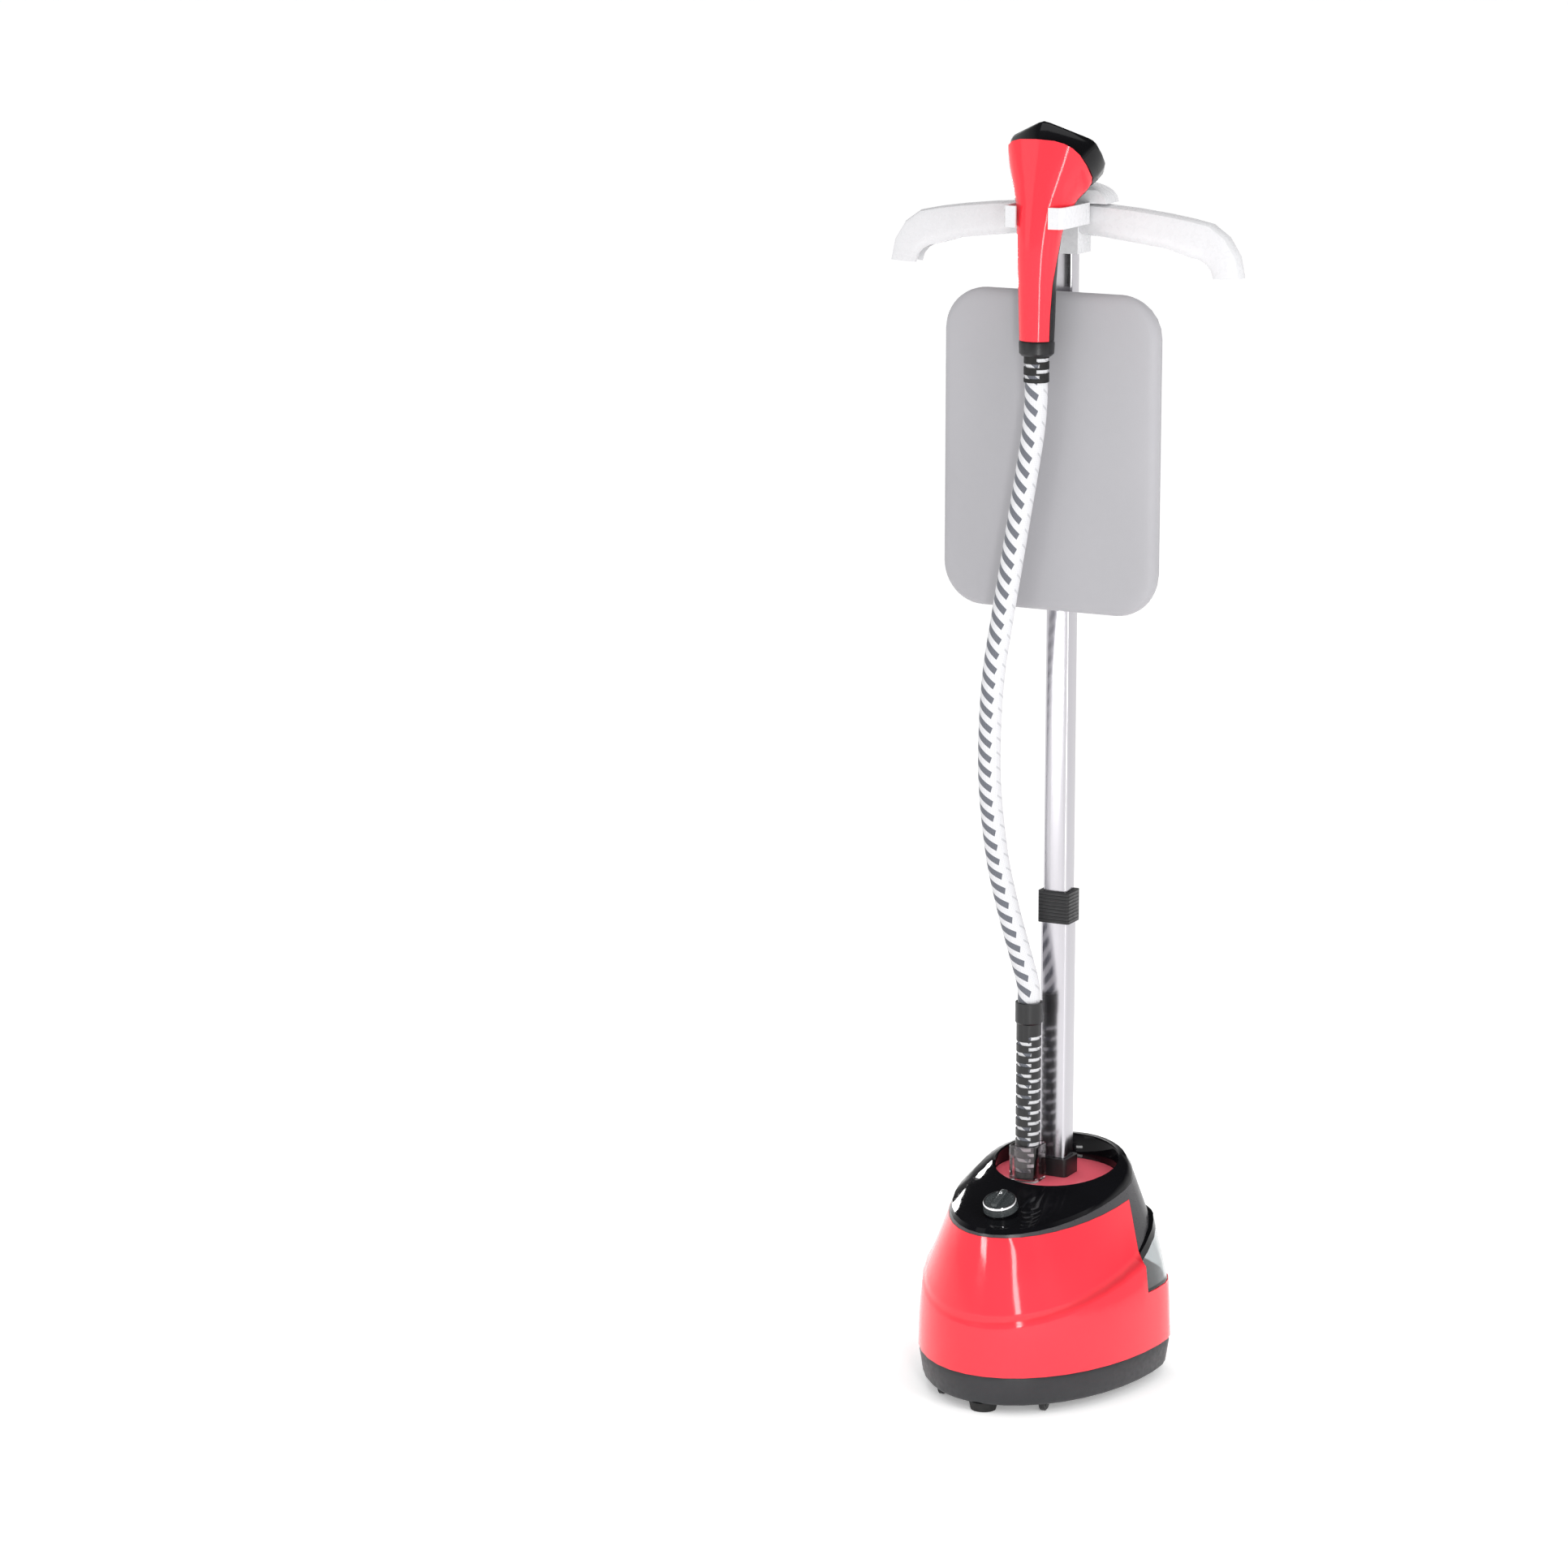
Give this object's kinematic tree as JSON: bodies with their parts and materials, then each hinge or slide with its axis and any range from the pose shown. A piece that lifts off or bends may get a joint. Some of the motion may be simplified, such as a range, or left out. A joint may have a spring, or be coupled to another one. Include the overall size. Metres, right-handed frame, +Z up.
{
  "type": "garment steamer",
  "caption": "Upright garment steamer: egg-shaped red base with water tank, telescopic pole, clothes hanger, clip-on press board, and a hand-held steam head on a fabric hose.",
  "frame": {"origin": "centre of the bounding box at floor level, under the base", "axes": "+Z up along the pole, -Y towards the front (the control knob), +X to the object's own left side as seen from behind, the viewer's right from the front"},
  "size_m": [0.444, 0.3346, 1.4987],
  "materials": {
    "red_gloss": "glossy",
    "deck_red": "glossy",
    "gloss_black": "glossy",
    "satin_cover": "satin",
    "tray_dark": "matt",
    "matt_black": "matt",
    "foot_rubber": "matt",
    "relief_rubber": "satin",
    "wheel_plastic": "matt",
    "pin_steel": "satin",
    "clear_plastic": "clear",
    "tube_aluminium": "brushed",
    "boiler_aluminium": "cast",
    "sole_steel": "satin",
    "board_green": "matt",
    "silicone": "satin",
    "white_plastic": "satin",
    "knob_face": "satin",
    "rim_chrome": "polished",
    "hose_fabric": "knitted",
    "pad_fabric": "woven",
    "core_plastic": "matt"
  },
  "bodies": {
    "base": {"base_tray": "tray_dark", "body_shell": "red_gloss", "trim_cover": "satin_cover", "top_ring": "gloss_black", "deck_panel": "deck_red", "pole_socket": "matt_black", "pole_foot": "matt_black", "front_foot": "foot_rubber", "wheel_pin_front_left": "pin_steel", "wheel_pin_front_right": "pin_steel", "wheel_pin_rear_left": "pin_steel", "wheel_pin_rear_right": "pin_steel", "cord_gland": "matt_black", "boiler": "boiler_aluminium", "pump": "matt_black", "pump_bracket": "pin_steel", "control_board": "board_green", "knob_switch": "matt_black", "steam_pipe": "silicone", "pole_lower_tube": "tube_aluminium", "lower_collar": "matt_black", "hose_socket": "clear_plastic", "hose_guard": "matt_black", "hose_root": "hose_fabric", "steam_hose": "hose_fabric"},
    "wheel_front_left": {"wheel_front_left": "wheel_plastic"},
    "wheel_front_right": {"wheel_front_right": "wheel_plastic"},
    "wheel_rear_left": {"wheel_rear_left": "wheel_plastic"},
    "wheel_rear_right": {"wheel_rear_right": "wheel_plastic"},
    "knob": {"knob_dial": "knob_face", "knob_rim": "rim_chrome", "knob_pointer": "white_plastic", "knob_shaft": "matt_black"},
    "tank": {"tank_body": "clear_plastic", "tank_lid": "gloss_black", "tank_outlet": "matt_black", "tank_plug": "matt_black"},
    "lower_lever": {"lower_lever": "matt_black"},
    "upper_lever": {"upper_lever": "matt_black"},
    "pole_middle": {"pole_middle_tube": "tube_aluminium", "upper_collar": "matt_black"},
    "pole_top": {"pole_top_tube": "tube_aluminium", "hanger_hub": "white_plastic", "hanger_arm_left": "white_plastic", "hanger_arm_right": "white_plastic", "hanger_fork": "white_plastic"},
    "board": {"board_pad": "pad_fabric", "board_core": "core_plastic", "board_socket": "matt_black", "board_clip_lower": "matt_black", "board_clip_upper": "matt_black"},
    "head": {"head_shell": "red_gloss", "head_grip": "gloss_black", "sole_housing": "gloss_black", "steam_plate": "sole_steel", "head_collar": "matt_black", "head_strain_relief": "relief_rubber"}
  },
  "joints": [
    {"name": "spin_front_left", "type": "hinge", "parent": "base", "child": "wheel_front_left", "pos_m": [-0.066, -0.115, 0.0095], "axis": [1, 0, 0], "continuous": true},
    {"name": "spin_front_right", "type": "hinge", "parent": "base", "child": "wheel_front_right", "pos_m": [0.066, -0.115, 0.0095], "axis": [1, 0, 0], "continuous": true},
    {"name": "spin_rear_left", "type": "hinge", "parent": "base", "child": "wheel_rear_left", "pos_m": [-0.084, 0.092, 0.0095], "axis": [1, 0, 0], "continuous": true},
    {"name": "spin_rear_right", "type": "hinge", "parent": "base", "child": "wheel_rear_right", "pos_m": [0.084, 0.092, 0.0095], "axis": [1, 0, 0], "continuous": true},
    {"name": "knob_turn", "type": "hinge", "parent": "base", "child": "knob", "pos_m": [-0.002, -0.094, 0.2315], "axis": [0, -0.309, 0.9511], "range_deg": [0, 270]},
    {"name": "tank_slide", "type": "slide", "parent": "base", "child": "tank", "axis": [0, 1, 0], "range_m": [0, 0.12]},
    {"name": "lower_lever_flip", "type": "hinge", "parent": "base", "child": "lower_lever", "pos_m": [0, 0.0761, 0.557], "axis": [-1, 0, 0], "range_deg": [0, 90]},
    {"name": "upper_lever_flip", "type": "hinge", "parent": "pole_middle", "child": "upper_lever", "pos_m": [0, 0.0761, 0.935], "axis": [-1, 0, 0], "range_deg": [0, 90]},
    {"name": "lower_pole_slide", "type": "slide", "parent": "base", "child": "pole_middle", "axis": [0, 0, 1], "range_m": [-0.33, 0], "deforming": ["steam_hose"]},
    {"name": "upper_pole_slide", "type": "slide", "parent": "pole_middle", "child": "pole_top", "axis": [0, 0, 1], "range_m": [-0.02, 0], "deforming": ["steam_hose"]},
    {"name": "board_slide", "type": "slide", "parent": "pole_top", "child": "board", "axis": [0, 0, 1], "range_m": [-0.01, 0.035]},
    {"name": "head_lift", "type": "slide", "parent": "pole_top", "child": "head", "axis": [0, 0, 1], "range_m": [0, 0.04], "deforming": ["steam_hose"]}
  ]
}
